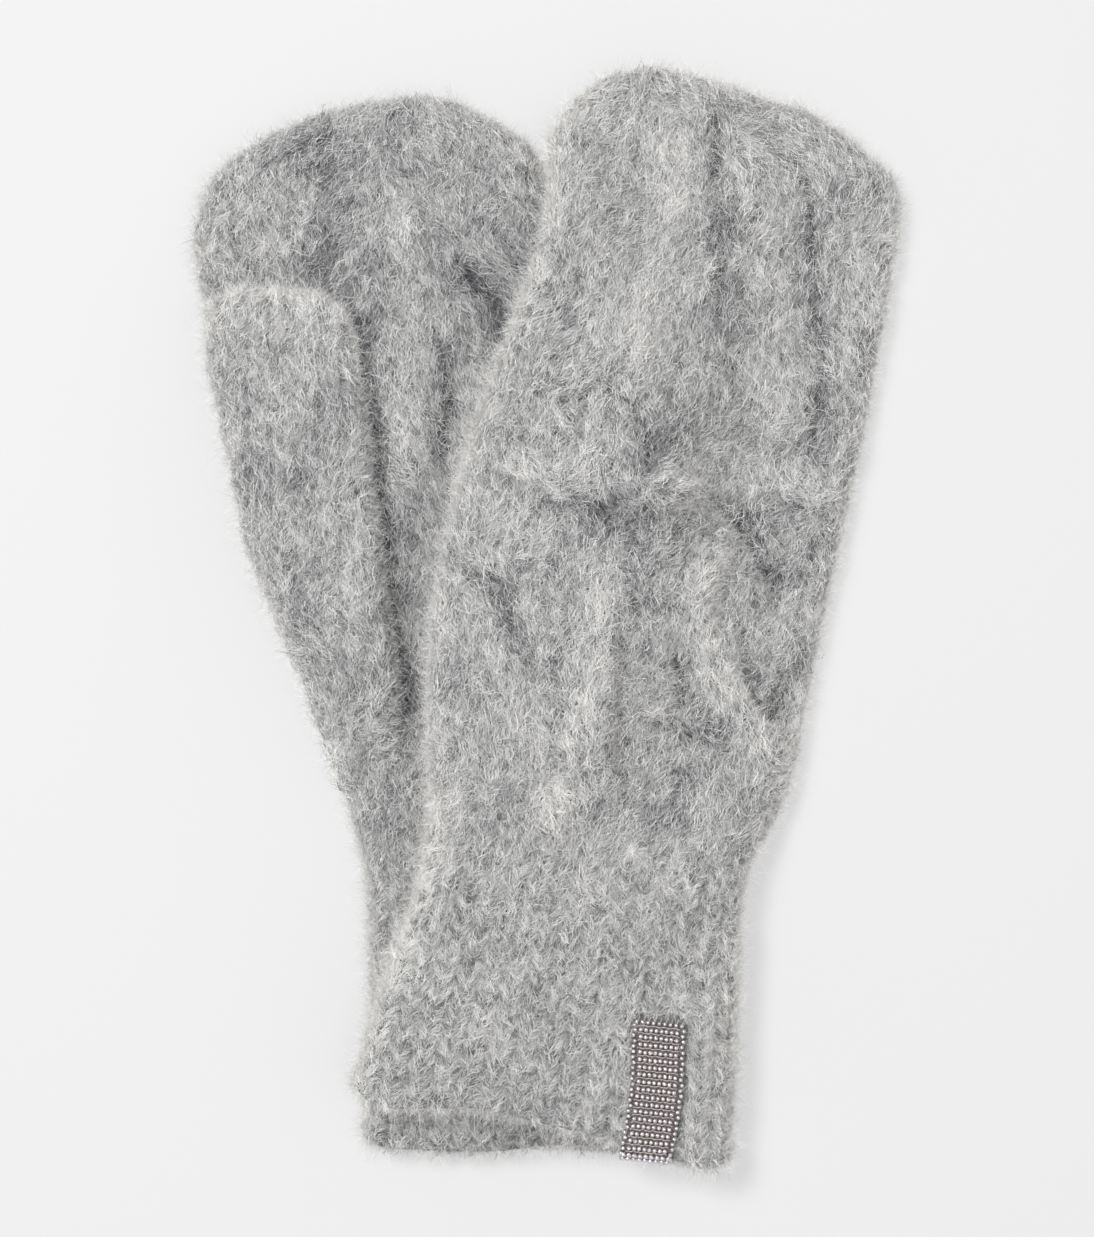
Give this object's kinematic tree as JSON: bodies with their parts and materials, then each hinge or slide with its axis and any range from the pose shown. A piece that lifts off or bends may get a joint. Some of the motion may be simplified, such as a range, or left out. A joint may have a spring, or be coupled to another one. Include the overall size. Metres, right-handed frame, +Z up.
{
  "type": "pair of knitted mittens",
  "caption": "Brushed light-grey knitted mittens with cable-knit backs, ribbed cuffs and a beaded steel tab, lying flat and overlapping.",
  "frame": {"origin": "on the table under the middle of the pair's outline", "axes": "+Z up from the table, +Y from the cuffs to the fingertips, +X from the left mitten to the right one"},
  "size_m": [0.1784, 0.2798, 0.0298],
  "materials": {
    "knit": "brushed mohair-like knit, melange light grey, long soft pile",
    "seam_yarn": "plied grey yarn",
    "tab_ribbon": "woven greige ribbon with pale thread between the balls",
    "steel_balls": "polished small steel balls"
  },
  "bodies": {
    "left_mitten": {"left_hand_back": "knit", "left_hand_palm": "knit", "left_thumb_gusset": "knit", "left_thumb_seam": "seam_yarn", "left_thumb_side_seam": "seam_yarn", "left_outer_side_seam": "seam_yarn", "left_tip_seam": "seam_yarn", "left_cuff": "knit", "left_cuff_edge": "knit", "left_tab_ribbon": "tab_ribbon", "left_tab_stitches": "seam_yarn", "left_tab_row_01": "steel_balls", "left_tab_row_02": "steel_balls", "left_tab_row_03": "steel_balls", "left_tab_row_04": "steel_balls", "left_tab_row_05": "steel_balls", "left_tab_row_06": "steel_balls", "left_tab_row_07": "steel_balls", "left_tab_row_08": "steel_balls", "left_tab_row_09": "steel_balls", "left_tab_row_10": "steel_balls", "left_tab_row_11": "steel_balls", "left_tab_row_12": "steel_balls", "left_tab_row_13": "steel_balls", "left_tab_row_14": "steel_balls", "left_tab_row_15": "steel_balls", "left_tab_row_16": "steel_balls", "left_tab_row_17": "steel_balls", "left_tab_row_18": "steel_balls"},
    "left_thumb": {"left_thumb": "knit"},
    "right_mitten": {"right_hand_back": "knit", "right_hand_palm": "knit", "right_thumb_gusset": "knit", "right_thumb_seam": "seam_yarn", "right_thumb_side_seam": "seam_yarn", "right_outer_side_seam": "seam_yarn", "right_tip_seam": "seam_yarn"},
    "right_thumb": {"right_thumb": "knit"},
    "right_cuff": {"right_cuff": "knit", "right_cuff_edge": "knit", "right_tab_ribbon": "tab_ribbon", "right_tab_stitches": "seam_yarn", "right_tab_row_01": "steel_balls", "right_tab_row_02": "steel_balls", "right_tab_row_03": "steel_balls", "right_tab_row_04": "steel_balls", "right_tab_row_05": "steel_balls", "right_tab_row_06": "steel_balls", "right_tab_row_07": "steel_balls", "right_tab_row_08": "steel_balls", "right_tab_row_09": "steel_balls", "right_tab_row_10": "steel_balls", "right_tab_row_11": "steel_balls", "right_tab_row_12": "steel_balls", "right_tab_row_13": "steel_balls", "right_tab_row_14": "steel_balls", "right_tab_row_15": "steel_balls", "right_tab_row_16": "steel_balls", "right_tab_row_17": "steel_balls", "right_tab_row_18": "steel_balls"}
  },
  "joints": [
    {"name": "left_thumb_fold", "type": "hinge", "parent": "left_mitten", "child": "left_thumb", "pos_m": [-0.05675, -0.00175, 0.0193], "axis": [0.6975, -0.7166, 0], "range_deg": [0, 100]},
    {"name": "right_mitten_lift", "type": "slide", "parent": "left_mitten", "child": "right_mitten", "axis": [0, 0, 1], "range_m": [0, 0.16]},
    {"name": "right_thumb_fold", "type": "hinge", "parent": "right_mitten", "child": "right_thumb", "pos_m": [-0.0055, 0.006, 0.0105], "axis": [-0.5503, 0.835, 0], "range_deg": [0, 60]},
    {"name": "right_cuff_fold", "type": "hinge", "parent": "right_mitten", "child": "right_cuff", "pos_m": [0, -0.064, 0.0201], "axis": [-1, 0, 0], "range_deg": [0, 90]}
  ],
  "couplings": [
    {"joint": "right_thumb_fold", "follows": "right_mitten_lift", "rad_per_m": 6.5}
  ]
}
